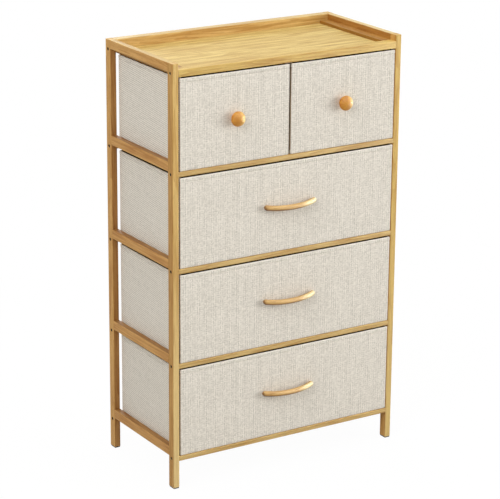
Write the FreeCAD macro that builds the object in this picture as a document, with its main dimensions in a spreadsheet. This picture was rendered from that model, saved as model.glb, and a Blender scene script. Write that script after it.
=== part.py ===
# Chest of drawers: a light wooden ladder frame that carries two half-width and three full-width fabric
# drawers. Millimetres, +Z up, +X to the right and +Y to the back as seen from the front. The origin is the
# bottom centre of the whole object, handles included.
import FreeCAD, Part
import math
import os
import re
import Sketcher

# Driving sizes, in millimetres
SIZES = {
    # Frame
    "overall_width": 600,
    "overall_depth": 300,
    "leg_clearance": 66,
    "tier_opening": 211.25,
    "shelf_rail_height": 11,
    "top_rail_height": 16,
    "rim_height": 14,
    "post_width": 15,
    "post_depth": 22,
    "edge_round": 1.5,
    "foot_pad_thickness": 3,
    "foot_pad_inset": 1,
    # Side rails and their tenons
    "side_rail_height": 22,
    "side_rail_drop": 1,
    "top_side_rail_height": 20.5,
    "tenon_length": 10,
    "tenon_thickness": 7,
    "tenon_shoulder": 4,
    "tenon_end_gap": 0.5,
    # Shelf panels and the recessed top
    "shelf_panel_thickness": 5,
    "rabbet_width": 6,
    "end_rail_width": 22.5,
    "top_panel_thickness": 6,
    "tongue_thickness": 4,
    "groove_lip": 3,
    "groove_depth": 6,
    "panel_gap": 0.5,
    # Screws that hold the posts to the rail ends
    "frame_screw_diameter": 5,
    "frame_screw_length": 45,
    "frame_screw_head_diameter": 7.6,
    "frame_screw_head_height": 3,
    "frame_screw_recess": 1,
    "screw_hole_gap": 0.2,
    # Drawers
    "side_gap": 2.5,
    "middle_gap": 4,
    "top_gap": 3.7,
    "running_gap": 0.3,
    "front_recess": 1,
    "back_gap": 25,
    "bin_wall": 4,
    "bin_floor": 3,
    "bin_corner": 3,
    "front_board_thickness": 5,
    "front_board_drop": 10,
    "base_board_thickness": 3,
    "board_gap": 0.5,
    # Arched handles
    "handle_length": 138,
    "handle_rise": 20,
    "handle_bar": 12.5,
    "handle_lift": 3.5,
    "handle_screw_inset": 13,
    "handle_screw_bite": 5,
    # Round knobs
    "knob_diameter": 34,
    "knob_belly": 14,
    "knob_rim_radius": 8,
    "knob_crown": 5,
    "knob_base_diameter": 19,
    "knob_screw_bite": 12,
    # Screws that hold the knobs and handles
    "pull_screw_diameter": 4,
    "pull_screw_head_diameter": 8.5,
    "pull_screw_head_height": 2.5,
}
TIERS = 4

# Sizes that follow from the driving ones
INNER_WIDTH = "(overall_width - 2 * post_width)"
INNER_DEPTH = "(overall_depth - 2 * post_depth)"
TIER_PITCH = "(shelf_rail_height + tier_opening)"
TOP_RAIL_BOTTOM = f"(leg_clearance + {TIERS} * {TIER_PITCH})"
TOP_RAIL_TOP = f"({TOP_RAIL_BOTTOM} + top_rail_height)"
OVERALL_HEIGHT = f"({TOP_RAIL_TOP} + rim_height)"
KNOB_TIP = "(knob_belly + knob_rim_radius + knob_crown)"
PULL_REACH = f"max(handle_rise + handle_bar / 2; {KNOB_TIP})"
FRONT_Y = f"(({PULL_REACH} - front_recess - overall_depth) / 2)"
BACK_Y = f"({FRONT_Y} + overall_depth)"
LEFT_X = "(-overall_width / 2)"
DRAWER_FRONT_Y = f"({FRONT_Y} + front_recess)"
BIN_HEIGHT = "(tier_opening - top_gap - running_gap)"
BIN_CORNER = "min(bin_corner; 0.8 * bin_wall)"
FRAME_SCREW_HOLE = "(frame_screw_diameter + screw_hole_gap)"
FRAME_SCREW_SEAT = "(frame_screw_recess + frame_screw_head_height)"
PULL_SCREW_HOLE = "(pull_screw_diameter + screw_hole_gap)"
GROOVE_TOP = "(groove_lip + tongue_thickness)"
DRAWER_DEPTH = "(overall_depth - front_recess - back_gap)"
BOW_SQUARES = "(handle_length ^ 2 / 4 + handle_rise ^ 2 - handle_bar ^ 2 / 4)"
BOW_RADIUS = f"({BOW_SQUARES} / (2 * handle_rise + handle_bar))"
BOW_AXIS = f"(handle_rise - {BOW_RADIUS})"
BOW_TURN = f"(2 * acos(({BOW_RADIUS} - handle_rise - handle_bar / 2) / ({BOW_RADIUS} + handle_bar / 2)))"
HANDLE_SCREW_X = "(handle_length / 2 - handle_screw_inset)"

X_AXIS = FreeCAD.Vector(1, 0, 0)
Y_AXIS = FreeCAD.Vector(0, 1, 0)
Z_AXIS = FreeCAD.Vector(0, 0, 1)
ORIGIN_POINT = (-1, 1)
H_AXIS, V_AXIS = range(-1, -3, -1)
START, END, CENTRE = range(1, 4)
NEAR = 0.001

doc = FreeCAD.newDocument("chest_of_drawers")
sheet = doc.addObject("Spreadsheet::Sheet", "sheet")
for row, (name, size) in enumerate(SIZES.items(), start=1):
    sheet.set(f"A{row}", name)
    sheet.set(f"B{row}", str(size))
    sheet.setAlias(f"B{row}", name)
doc.recompute()

SIZE_NAME = re.compile(r"\b(" + "|".join(SIZES) + r")\b")
nodes = []


def formula(text):
    """The text with every size name pointing at its cell in the sheet."""
    return SIZE_NAME.sub(r"sheet.\1", text)


def number(text):
    """What a formula comes to now, for the first guess of a sketch."""
    return float(sheet.evalExpression(formula(text)))


def bind(thing, prop, text):
    thing.setExpression(prop, formula(text))


def place(thing, x, y, z, axis=Z_AXIS, angle=0):
    thing.Placement = FreeCAD.Placement(FreeCAD.Vector(), FreeCAD.Rotation(axis, angle))
    for direction, text in zip("xyz", (x, y, z)):
        bind(thing, f"Placement.Base.{direction}", text)


def new_body(label, x, y, z, axis=Z_AXIS, angle=0, in_group=False):
    """An empty body that becomes the node of that name, unless it goes into a group."""
    body = doc.addObject("PartDesign::Body", label)
    body.Label = label
    place(body, x, y, z, axis, angle)
    if not in_group:
        nodes.append(body)
    return body


def new_box(label, corner, size):
    """A plain board: its lowest corner and its three sides."""
    box = doc.addObject("Part::Box", label)
    box.Label = label
    for prop, text in zip(("Length", "Width", "Height"), size):
        bind(box, prop, text)
    place(box, *corner)
    return box


def new_sketch(body, name, role, lift="0"):
    """A sketch on one of the body's own origin planes, lifted along the plane's normal."""
    support = [feature for feature in body.Origin.OriginFeatures if feature.Role == role]
    sketch = body.newObject("Sketcher::SketchObject", f"{body.Name}_{name}")
    sketch.AttachmentSupport = [(support[0], "")]
    sketch.MapMode = "FlatFace"
    bind(sketch, "AttachmentOffset.Base.z", lift)
    return sketch


def fix_point(sketch, geometry, point, x=None, y=None):
    """Ties a sketch point's distances from the origin to formulas; 0 puts it on the axis."""
    for kind, axis, text in (("DistanceX", V_AXIS, x), ("DistanceY", H_AXIS, y)):
        if text == "0":
            sketch.addConstraint(Sketcher.Constraint("PointOnObject", geometry, point, axis))
        elif text is not None:
            datum = Sketcher.Constraint(kind, *ORIGIN_POINT, geometry, point, number(text))
            bind(sketch, f"Constraints[{sketch.addConstraint(datum)}]", text)


def outline(sketch, corners):
    """A closed outline of upright and level lines through the corners."""
    points = [FreeCAD.Vector(number(x), number(y), 0) for x, y in corners]
    lines = []
    for index, point in enumerate(points):
        lines.append(sketch.addGeometry(Part.LineSegment(point, points[(index + 1) % len(points)])))
    for index, line in enumerate(lines):
        following = lines[(index + 1) % len(lines)]
        sketch.addConstraint(Sketcher.Constraint("Coincident", line, END, following, START))
    for index, line in enumerate(lines):
        x, y = corners[index]
        upright = corners[(index + 1) % len(corners)][0] == x
        sketch.addConstraint(Sketcher.Constraint("Vertical" if upright else "Horizontal", line))
        fix_point(sketch, line, START, x=x if upright else None, y=None if upright else y)


def rectangle(sketch, left, bottom, right, top):
    outline(sketch, [(left, bottom), (right, bottom), (right, top), (left, top)])


def circle(sketch, x, y, diameter):
    centre = FreeCAD.Vector(number(x), number(y), 0)
    ring = sketch.addGeometry(Part.Circle(centre, Z_AXIS, number(diameter) / 2))
    fix_point(sketch, ring, CENTRE, x=x, y=y)
    datum = Sketcher.Constraint("Diameter", ring, number(diameter))
    bind(sketch, f"Constraints[{sketch.addConstraint(datum)}]", diameter)


def pad(body, sketch, length, backwards=False):
    feature = body.newObject("PartDesign::Pad", f"{sketch.Name}_pad")
    feature.Profile = sketch
    feature.Reversed = backwards
    bind(feature, "Length", length)
    doc.recompute()


def pocket(body, sketch, depth, backwards=False):
    """Cuts the sketch into the body, against the sketch's normal unless backwards."""
    volume = body.Shape.Volume
    feature = body.newObject("PartDesign::Pocket", f"{sketch.Name}_pocket")
    feature.Profile = sketch
    feature.Reversed = backwards
    bind(feature, "Length", depth)
    doc.recompute()
    if body.Shape.Volume >= volume:
        raise RuntimeError(f"{feature.Name} cuts nothing")


def round_edges(body, radius, wanted):
    """Rounds the edges of the body so far for which wanted(edge) is true."""
    base = body.Tip
    names = [f"Edge{index}" for index, edge in enumerate(base.Shape.Edges, start=1) if wanted(edge)]
    feature = body.newObject("PartDesign::Fillet", f"{base.Name}_round")
    feature.Base = (base, names)
    bind(feature, "Radius", radius)
    doc.recompute()


def along(axis):
    """A test for straight edges that run along the axis."""
    def test(edge):
        return isinstance(edge.Curve, Part.Line) and edge.Curve.Direction.cross(axis).Length < NEAR
    return test


# Heights of what joins the posts, from the bottom tier to the top

def shelf_bottom(tier):
    return f"(leg_clearance + {tier} * {TIER_PITCH})"


def shelf_top(tier):
    return f"({shelf_bottom(tier)} + shelf_rail_height)"


def side_rail(level):
    """Bottom and height of a side rail: one beside each shelf, then the rim."""
    if level < TIERS:
        return f"({shelf_top(level)} - side_rail_drop)", "side_rail_height"
    return f"({OVERALL_HEIGHT} - top_side_rail_height)", "top_side_rail_height"


def screw_height(level):
    """The screws go into the middle of each shelf rail and of the top front rail."""
    if level < TIERS:
        return f"({shelf_bottom(level)} + shelf_rail_height / 2)"
    return f"({TOP_RAIL_BOTTOM} + top_rail_height / 2)"


LEVELS = range(TIERS + 1)


def make_post(label, right, rear):
    """A corner post: screw holes through its width, mortises for the side rails in its inner face."""
    x = "(overall_width / 2 - post_width)" if right else LEFT_X
    y = f"({BACK_Y} - post_depth)" if rear else FRONT_Y
    body = new_body(label, x, y, "foot_pad_thickness")
    blank = new_sketch(body, "section", "XY_Plane")
    rectangle(blank, "0", "0", "post_width", "post_depth")
    pad(body, blank, f"{OVERALL_HEIGHT} - foot_pad_thickness")
    round_edges(body, "edge_round", along(Z_AXIS))

    outer_face = "post_width" if right else "0"
    for name, diameter, depth in (
        ("screw_holes", FRAME_SCREW_HOLE, "post_width"),
        ("screw_seats", "(frame_screw_head_diameter + 2 * screw_hole_gap)", FRAME_SCREW_SEAT),
    ):
        holes = new_sketch(body, name, "YZ_Plane", outer_face)
        for level in LEVELS:
            circle(holes, "post_depth / 2", f"{screw_height(level)} - foot_pad_thickness", diameter)
        pocket(body, holes, depth, backwards=not right)

    inner_face = "0" if rear else "-post_depth"
    mortises = new_sketch(body, "mortises", "XZ_Plane", inner_face)
    for level in LEVELS:
        bottom, height = side_rail(level)
        rectangle(
            mortises,
            "(post_width - tenon_thickness) / 2",
            f"{bottom} + tenon_shoulder - foot_pad_thickness",
            "(post_width + tenon_thickness) / 2",
            f"{bottom} + {height} - tenon_shoulder - foot_pad_thickness",
        )
    pocket(body, mortises, "tenon_length + tenon_end_gap", backwards=not rear)


def make_side_rail(label, right, level):
    """A side rail as thick as the posts, with a tenon at each end."""
    bottom, height = side_rail(level)
    x = "(overall_width / 2 - post_width)" if right else LEFT_X
    body = new_body(label, x, f"{FRONT_Y} + post_depth", bottom)
    section = new_sketch(body, "section", "XZ_Plane")
    rectangle(section, "0", "0", "post_width", height)
    pad(body, section, INNER_DEPTH, backwards=True)
    round_edges(body, "edge_round", along(Y_AXIS))
    tenon = new_sketch(body, "tenon", "XZ_Plane", "tenon_length")
    rectangle(
        tenon,
        "(post_width - tenon_thickness) / 2",
        "tenon_shoulder",
        "(post_width + tenon_thickness) / 2",
        f"{height} - tenon_shoulder",
    )
    pad(body, tenon, f"{INNER_DEPTH} + 2 * tenon_length", backwards=True)


def drill_rail_ends(body, y, z):
    """A blind hole in each end of a cross rail for the screw that comes through the post."""
    depth = f"{FRAME_SCREW_SEAT} + frame_screw_length - post_width + screw_hole_gap"
    for name, lift in (("left_hole", "0"), ("right_hole", INNER_WIDTH)):
        hole = new_sketch(body, name, "YZ_Plane", lift)
        circle(hole, y, z, FRAME_SCREW_HOLE)
        pocket(body, hole, depth, backwards=lift == "0")


def make_shelf_rail(label, rear, tier):
    """A cross rail under a drawer, rabbeted along its inner top edge for the shelf panel."""
    y = f"({BACK_Y} - post_depth)" if rear else FRONT_Y
    body = new_body(label, f"{LEFT_X} + post_width", y, shelf_bottom(tier))
    section = new_sketch(body, "section", "YZ_Plane")
    ledge = "shelf_rail_height - shelf_panel_thickness"
    if rear:
        step = [("0", "0"), ("post_depth", "0"), ("post_depth", "shelf_rail_height")]
        step += [("rabbet_width", "shelf_rail_height"), ("rabbet_width", ledge), ("0", ledge)]
    else:
        step = [("0", "0"), ("post_depth", "0"), ("post_depth", ledge)]
        step += [("post_depth - rabbet_width", ledge), ("post_depth - rabbet_width", "shelf_rail_height")]
        step += [("0", "shelf_rail_height")]
    outline(section, step)
    pad(body, section, INNER_WIDTH)
    show_y = number("post_depth") if rear else 0
    long_edge = along(X_AXIS)
    round_edges(body, "edge_round", lambda edge: long_edge(edge) and abs(edge.CenterOfMass.y - show_y) < NEAR)
    drill_rail_ends(body, "post_depth / 2", "shelf_rail_height / 2")


def make_top_rail(label, rear):
    """The top front rail, or the taller back rail that is also the rim; both grooved for the top panel."""
    y = f"({BACK_Y} - post_depth)" if rear else FRONT_Y
    height = "(top_rail_height + rim_height)" if rear else "top_rail_height"
    body = new_body(label, f"{LEFT_X} + post_width", y, TOP_RAIL_BOTTOM)
    section = new_sketch(body, "section", "YZ_Plane")
    rectangle(section, "0", "0", "post_depth", height)
    pad(body, section, INNER_WIDTH)
    top = number(height)
    long_edge = along(X_AXIS)
    round_edges(body, "edge_round", lambda edge: long_edge(edge) and abs(edge.CenterOfMass.z - top) < NEAR)
    groove = new_sketch(body, "groove", "XZ_Plane", "0" if rear else "-post_depth")
    rectangle(groove, "0", "groove_lip", INNER_WIDTH, GROOVE_TOP)
    pocket(body, groove, "groove_depth", backwards=not rear)
    drill_rail_ends(body, "post_depth / 2", "top_rail_height / 2")


def make_end_rail(label, right):
    """A flat rail inside the rim at each end of the top panel, grooved for it."""
    x = "(overall_width / 2 - post_width - end_rail_width)" if right else f"({LEFT_X} + post_width)"
    body = new_body(label, x, f"{FRONT_Y} + post_depth", TOP_RAIL_BOTTOM)
    section = new_sketch(body, "section", "XZ_Plane")
    rectangle(section, "0", "0", "end_rail_width", "top_rail_height")
    pad(body, section, INNER_DEPTH, backwards=True)
    groove = new_sketch(body, "groove", "YZ_Plane", "0" if right else "end_rail_width")
    rectangle(groove, "0", "groove_lip", INNER_DEPTH, GROOVE_TOP)
    pocket(body, groove, "groove_depth", backwards=right)


def make_shelf_panel(label, tier):
    reach = f"({INNER_DEPTH} + 2 * rabbet_width - 2 * panel_gap)"
    corner = (
        f"{LEFT_X} + post_width + panel_gap",
        f"{FRONT_Y} + post_depth - rabbet_width + panel_gap",
        f"{shelf_top(tier)} - shelf_panel_thickness",
    )
    nodes.append(new_box(label, corner, (f"{INNER_WIDTH} - 2 * panel_gap", reach, "shelf_panel_thickness")))


def make_top_panel(label):
    """The top panel: its field stands clear of the rails, a thinner tongue round it lies in their grooves."""
    inner_corner = (f"{LEFT_X} + post_width", f"{FRONT_Y} + post_depth")
    body = new_body(label, *inner_corner, f"{TOP_RAIL_BOTTOM} + groove_lip")
    for name, margin, thickness in (
        ("tongue", "(panel_gap - groove_depth)", "tongue_thickness"),
        ("field", "panel_gap", "top_panel_thickness"),
    ):
        side = f"end_rail_width + {margin}"
        plan = new_sketch(body, name, "XY_Plane")
        rectangle(plan, side, margin, f"{INNER_WIDTH} - ({side})", f"{INNER_DEPTH} - {margin}")
        pad(body, plan, thickness)


def new_group(label, members):
    """One node that holds several separate solids."""
    group = doc.addObject("Part::Compound", label)
    group.Label = label
    group.Links = members
    nodes.append(group)


def make_foot_pads(label):
    pad_width = "post_width - 2 * foot_pad_inset"
    pad_depth = "post_depth - 2 * foot_pad_inset"
    pads = []
    for x in (LEFT_X, "(overall_width / 2 - post_width)"):
        for y in (FRONT_Y, f"({BACK_Y} - post_depth)"):
            corner = (f"{x} + foot_pad_inset", f"{y} + foot_pad_inset", "0")
            pads.append(new_box(f"{label}_{len(pads)}", corner, (pad_width, pad_depth, "foot_pad_thickness")))
    new_group(label, pads)


def make_screw(name, head, shank, x, y, z, axis, angle):
    """A screw with a flat head: each of head and shank is a diameter and a length."""
    parts = []
    for part, (diameter, length) in (("head", head), ("shank", shank)):
        cylinder = doc.addObject("Part::Cylinder", f"{name}_{part}")
        bind(cylinder, "Radius", f"{diameter} / 2")
        bind(cylinder, "Height", length)
        parts.append(cylinder)
    bind(parts[1], "Placement.Base.z", head[1])
    screw = doc.addObject("Part::Fuse", name)
    screw.Base, screw.Tool = parts
    place(screw, x, y, z, axis, angle)
    return screw


def make_frame_screws(label):
    """A screw through each post into each cross rail end, its head just below the post's outer face."""
    head = ("frame_screw_head_diameter", "frame_screw_head_height")
    shank = ("frame_screw_diameter", "frame_screw_length")
    screws = []
    for side, turn in (("-1", 90), ("1", -90)):
        for y in (f"({FRONT_Y} + post_depth / 2)", f"({BACK_Y} - post_depth / 2)"):
            for level in LEVELS:
                x = f"{side} * (overall_width / 2 - frame_screw_recess)"
                name = f"{label}_{len(screws)}"
                screws.append(make_screw(name, head, shank, x, y, screw_height(level), Y_AXIS, turn))
    new_group(label, screws)


def make_bin(label, x, z, width, holes):
    """The fabric bin: a floor and four stiffened walls, sewn where they meet, the upright corners rounded."""
    upright = along(Z_AXIS)
    wall_z = f"({z} + bin_floor)"
    wall_height = f"({BIN_HEIGHT} - bin_floor)"
    floor = new_body(f"{label}_floor", x, DRAWER_FRONT_Y, z, in_group=True)
    plan = new_sketch(floor, "plan", "XY_Plane")
    rectangle(plan, "0", "0", width, DRAWER_DEPTH)
    pad(floor, plan, "bin_floor")
    round_edges(floor, BIN_CORNER, upright)

    walls = []
    for name, back, outside in (("front", "0", "0"), ("back", f"({DRAWER_DEPTH} - bin_wall)", "bin_wall")):
        wall = new_body(f"{label}_{name}", x, f"{DRAWER_FRONT_Y} + {back}", wall_z, in_group=True)
        plan = new_sketch(wall, "plan", "XY_Plane")
        rectangle(plan, "0", "0", width, "bin_wall")
        pad(wall, plan, wall_height)
        show_y = number(outside)
        round_edges(wall, BIN_CORNER, lambda edge: upright(edge) and abs(edge.CenterOfMass.y - show_y) < NEAR)
        walls.append(wall)
    drill = new_sketch(walls[0], "screw_holes", "XZ_Plane")
    for hole_x, height in holes:
        circle(drill, hole_x, f"{height} - bin_floor", PULL_SCREW_HOLE)
    pocket(walls[0], drill, "bin_wall")

    for name, side in (("left", "0"), ("right", f"({width} - bin_wall)")):
        corner = (f"{x} + {side}", f"{DRAWER_FRONT_Y} + bin_wall", wall_z)
        size = ("bin_wall", f"{DRAWER_DEPTH} - 2 * bin_wall", wall_height)
        walls.append(new_box(f"{label}_{name}", corner, size))
    new_group(label, [floor] + walls)


def make_front_board(label, x, z, width, holes):
    """The board inside the front of a bin, drilled for the pull's screws."""
    side = "(bin_wall + board_gap)"
    body = new_body(label, f"{x} + {side}", f"{DRAWER_FRONT_Y} + bin_wall", f"{z} + bin_floor")
    face = new_sketch(body, "face", "XZ_Plane")
    rectangle(face, "0", "0", f"{width} - 2 * {side}", f"{BIN_HEIGHT} - bin_floor - front_board_drop")
    for hole_x, height in holes:
        circle(face, f"{hole_x} - {side}", f"{height} - bin_floor", PULL_SCREW_HOLE)
    pad(body, face, "front_board_thickness", backwards=True)


def make_base_board(label, x, z, width):
    front = "(bin_wall + front_board_thickness + board_gap)"
    corner = (f"{x} + bin_wall + board_gap", f"{DRAWER_FRONT_Y} + {front}", f"{z} + bin_floor")
    size = (
        f"{width} - 2 * (bin_wall + board_gap)",
        f"{DRAWER_DEPTH} - {front} - bin_wall - board_gap",
        "base_board_thickness",
    )
    nodes.append(new_box(label, corner, size))


def radius_datum(sketch, arc, text):
    datum = Sketcher.Constraint("Radius", arc, number(text))
    bind(sketch, f"Constraints[{sketch.addConstraint(datum)}]", text)


def arc_between(sketch, centre, start, end):
    """An arc that runs anticlockwise about the centre from start to end."""
    middle = FreeCAD.Vector(*centre, 0)
    first = FreeCAD.Vector(*start, 0) - middle
    last = FreeCAD.Vector(*end, 0) - middle
    ring = Part.Circle(middle, Z_AXIS, first.Length)
    angles = [math.atan2(arm.y, arm.x) for arm in (first, last)]
    return sketch.addGeometry(Part.ArcOfCircle(ring, *angles))


def make_handle(label, x, z):
    """An arched handle: a round bar bent to an even bow, cut flat where its ends meet the drawer's face.

    The bar is drawn in section at the crown of the bow and turned both ways about the bow's upright axis.
    """
    body = new_body(label, x, DRAWER_FRONT_Y, z, Z_AXIS, 180)
    sketch = new_sketch(body, "bar", "YZ_Plane")
    ends = [FreeCAD.Vector(number(BOW_AXIS), height, 0) for height in (0, number("handle_bar"))]
    axis = sketch.addGeometry(Part.LineSegment(*ends), True)
    fix_point(sketch, axis, START, x=BOW_AXIS, y="0")
    fix_point(sketch, axis, END, x=BOW_AXIS, y="handle_bar")
    circle(sketch, "handle_rise", "0", "handle_bar")
    bow = body.newObject("PartDesign::Revolution", f"{label}_bow")
    bow.Profile = sketch
    bow.ReferenceAxis = (sketch, ["Axis0"])
    bow.Midplane = True
    bind(bow, "Angle", BOW_TURN)
    doc.recompute()
    waste = new_sketch(body, "waste", "XY_Plane", "-handle_bar")
    rectangle(waste, "-handle_length", "-handle_length", "handle_length", "0")
    pocket(body, waste, "2 * handle_bar", backwards=True)
    holes = new_sketch(body, "screw_holes", "XZ_Plane")
    circle(holes, HANDLE_SCREW_X, "0", PULL_SCREW_HOLE)
    circle(holes, f"-{HANDLE_SCREW_X}", "0", PULL_SCREW_HOLE)
    pocket(body, holes, "handle_screw_bite + screw_hole_gap")


def make_knob(label, x, z):
    """A turned knob: a tapered neck, a round rim and a domed front, about the sketch's upright axis."""
    body = new_body(label, x, DRAWER_FRONT_Y, z, X_AXIS, 90)
    sketch = new_sketch(body, "profile", "XZ_Plane")
    base = number("knob_base_diameter / 2")
    tip = number(KNOB_TIP)
    rim = number("knob_rim_radius")
    rim_x = number("knob_diameter / 2") - rim
    rim_y = number("knob_belly")
    # The dome's centre is on the axis, and the dome touches the rim's circle from outside
    dome_y = ((tip - rim) ** 2 - rim_x ** 2 - rim_y ** 2) / (2 * (tip - rim - rim_y))
    away = FreeCAD.Vector(rim_x, rim_y - dome_y, 0).normalize()
    shoulder = (rim_x + rim * away.x, rim_y + rim * away.y)
    # The neck is the straight line from the base that touches the rim's circle from below
    reach = FreeCAD.Vector(base - rim_x, -rim_y, 0)
    lean = math.atan2(reach.y, reach.x) + math.acos(rim / reach.Length)
    neck = (rim_x + rim * math.cos(lean), rim_y + rim * math.sin(lean))

    dome = arc_between(sketch, (0, dome_y), shoulder, (0, tip))
    edge = arc_between(sketch, (rim_x, rim_y), neck, shoulder)
    lines = []
    for start, end in (((0, tip), (0, 0)), ((0, 0), (base, 0)), ((base, 0), neck)):
        lines.append(sketch.addGeometry(Part.LineSegment(FreeCAD.Vector(*start, 0), FreeCAD.Vector(*end, 0))))
    axis, seat, taper = lines
    for pair in ((dome, END, axis, START), (axis, END, seat, START), (seat, END, taper, START)):
        sketch.addConstraint(Sketcher.Constraint("Coincident", *pair))
    for pair in ((edge, END, dome, START), (taper, END, edge, START)):
        sketch.addConstraint(Sketcher.Constraint("Tangent", *pair))
    fix_point(sketch, axis, START, x="0", y=KNOB_TIP)
    fix_point(sketch, axis, END, x="0", y="0")
    fix_point(sketch, seat, END, x="knob_base_diameter / 2", y="0")
    fix_point(sketch, dome, CENTRE, x="0")
    fix_point(sketch, edge, CENTRE, x="knob_diameter / 2 - knob_rim_radius", y="knob_belly")
    radius_datum(sketch, edge, "knob_rim_radius")
    turned = body.newObject("PartDesign::Revolution", f"{label}_turned")
    turned.Profile = sketch
    turned.ReferenceAxis = (sketch, ["V_Axis"])
    turned.Angle = 360
    doc.recompute()
    hole = new_sketch(body, "screw_hole", "XY_Plane")
    circle(hole, "0", "0", PULL_SCREW_HOLE)
    pocket(body, hole, "knob_screw_bite + screw_hole_gap", backwards=True)


def make_drawer(name, tier, x, width, pull):
    """A bin, its two boards, its knob or handle and the screws that hold that from inside."""
    z = f"({shelf_top(tier)} + running_gap)"
    middle_x = f"({x} + {width} / 2)"
    if pull == "knob":
        height = f"({BIN_HEIGHT} / 2)"
        offsets = ["0"]
        bite = "knob_screw_bite"
        make_knob(f"{name}_knob", middle_x, f"({z} + {height})")
    else:
        height = f"({BIN_HEIGHT} / 2 + handle_lift)"
        offsets = [f"-{HANDLE_SCREW_X}", HANDLE_SCREW_X]
        bite = "handle_screw_bite"
        make_handle(f"{name}_handle", middle_x, f"({z} + {height})")
    holes = [(f"({width} / 2 + {offset})", height) for offset in offsets]
    make_bin(f"{name}_bin", x, z, width, holes)
    make_front_board(f"{name}_front_board", x, z, width, holes)
    make_base_board(f"{name}_base_board", x, z, width)
    head = ("pull_screw_head_diameter", "pull_screw_head_height")
    shank = ("pull_screw_diameter", f"(bin_wall + front_board_thickness + {bite})")
    inside_y = f"{DRAWER_FRONT_Y} + bin_wall + front_board_thickness + pull_screw_head_height"
    screws = []
    for offset in offsets:
        label = f"{name}_screw_{len(screws)}"
        screw_x = f"{middle_x} + {offset}"
        screws.append(make_screw(label, head, shank, screw_x, inside_y, f"{z} + {height}", X_AXIS, 90))
    new_group(f"{name}_screws", screws)


def build():
    for right, side in ((False, "left"), (True, "right")):
        for rear, end in ((False, "front"), (True, "rear")):
            make_post(f"post_{end}_{side}", right, rear)
        for level in LEVELS:
            make_side_rail(f"side_rail_{side}_{level + 1}", right, level)
        make_end_rail(f"top_end_rail_{side}", right)
    for tier in range(TIERS):
        make_shelf_rail(f"front_rail_{tier + 1}", False, tier)
        make_shelf_rail(f"back_rail_{tier + 1}", True, tier)
        make_shelf_panel(f"shelf_panel_{tier + 1}", tier)
    make_top_rail("front_rail_top", False)
    make_top_rail("back_rail_top", True)
    make_top_panel("top_panel")
    make_frame_screws("frame_screws")
    make_foot_pads("foot_pads")

    wide = f"({INNER_WIDTH} - 2 * side_gap)"
    half = f"(({wide} - middle_gap) / 2)"
    left = f"(-{wide} / 2)"
    make_drawer("top_left_drawer", 3, left, half, "knob")
    make_drawer("top_right_drawer", 3, "(middle_gap / 2)", half, "knob")
    for tier, name in enumerate(("lower_drawer", "middle_drawer", "upper_drawer")):
        make_drawer(name, tier, left, wide, "handle")
    doc.recompute()


def check_and_write():
    for thing in doc.Objects:
        if "Invalid" in thing.State or "Error" in thing.State:
            raise RuntimeError(f"{thing.Label} failed: {thing.State}")
    for node in nodes:
        if node.Shape.isNull() or not node.Shape.isValid():
            raise RuntimeError(f"{node.Label} has no valid shape")
    os.makedirs("parts", exist_ok=True)
    for node in nodes:
        node.Shape.exportStep(f"parts/{node.Label}.step")
        print(node.Label, len(node.Shape.Solids), round(node.Shape.Volume))
    print(len(nodes), "nodes")


build()
check_and_write()
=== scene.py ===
# %% [markdown]
# A chest of drawers, dressed around its CAD frame.
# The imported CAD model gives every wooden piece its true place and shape, so it is loaded first and
# never moved. Blender then adds what CAD leaves plain: the grain of the wood, soft ends on the
# handles, sewn cloth bins with their thread, and screws with sockets.

# %% Load the frame
import math
from collections import namedtuple

import bmesh
import bpy
from mathutils import Matrix, Vector, noise


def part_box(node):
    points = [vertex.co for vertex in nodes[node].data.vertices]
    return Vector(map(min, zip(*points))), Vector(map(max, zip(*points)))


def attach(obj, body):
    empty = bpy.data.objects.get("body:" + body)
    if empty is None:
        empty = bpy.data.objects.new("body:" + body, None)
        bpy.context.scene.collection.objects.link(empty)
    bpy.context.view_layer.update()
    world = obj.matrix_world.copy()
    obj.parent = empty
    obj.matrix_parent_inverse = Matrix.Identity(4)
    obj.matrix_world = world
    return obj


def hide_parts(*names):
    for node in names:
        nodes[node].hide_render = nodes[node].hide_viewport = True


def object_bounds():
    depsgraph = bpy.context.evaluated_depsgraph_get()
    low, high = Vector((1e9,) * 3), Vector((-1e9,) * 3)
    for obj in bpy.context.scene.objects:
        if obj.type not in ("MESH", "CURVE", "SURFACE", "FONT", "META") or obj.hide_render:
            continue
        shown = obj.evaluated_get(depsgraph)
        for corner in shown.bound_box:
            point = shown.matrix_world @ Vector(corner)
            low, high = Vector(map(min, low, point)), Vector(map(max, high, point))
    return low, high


MM = 0.001
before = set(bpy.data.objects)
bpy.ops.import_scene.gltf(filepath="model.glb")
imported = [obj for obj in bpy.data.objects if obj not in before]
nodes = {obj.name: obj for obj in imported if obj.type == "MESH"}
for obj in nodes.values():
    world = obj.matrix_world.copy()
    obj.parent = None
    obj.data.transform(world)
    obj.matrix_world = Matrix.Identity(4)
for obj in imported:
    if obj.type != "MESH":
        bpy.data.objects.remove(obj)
cad_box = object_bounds()
DRAWERS = ("top_left_drawer", "top_right_drawer", "upper_drawer", "middle_drawer", "lower_drawer")
corners = [[round(value, 4) for value in corner] for corner in cad_box]
print("CAD pieces:", len(nodes), "in the box", corners)

# %% [markdown]
# The camera stands where the photograph was taken from: above the chest, to its left, with a long
# lens. Its place and turn came from fitting the corners of the chest, so here they are plain
# numbers. Euler angles would turn it in one line, but the three directions of the view, worked out
# one by one, are easier to follow.

# %% Camera
STAND = Vector((-2.5660, -4.06480, 2.0293))
YAW, PITCH, ROLL = (math.radians(angle) for angle in (32.107, -17.820, 0.457))
FOCAL_PIXELS = 2177.2
PHOTO_WIDTH = 500
SENSOR = 36.0

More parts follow.
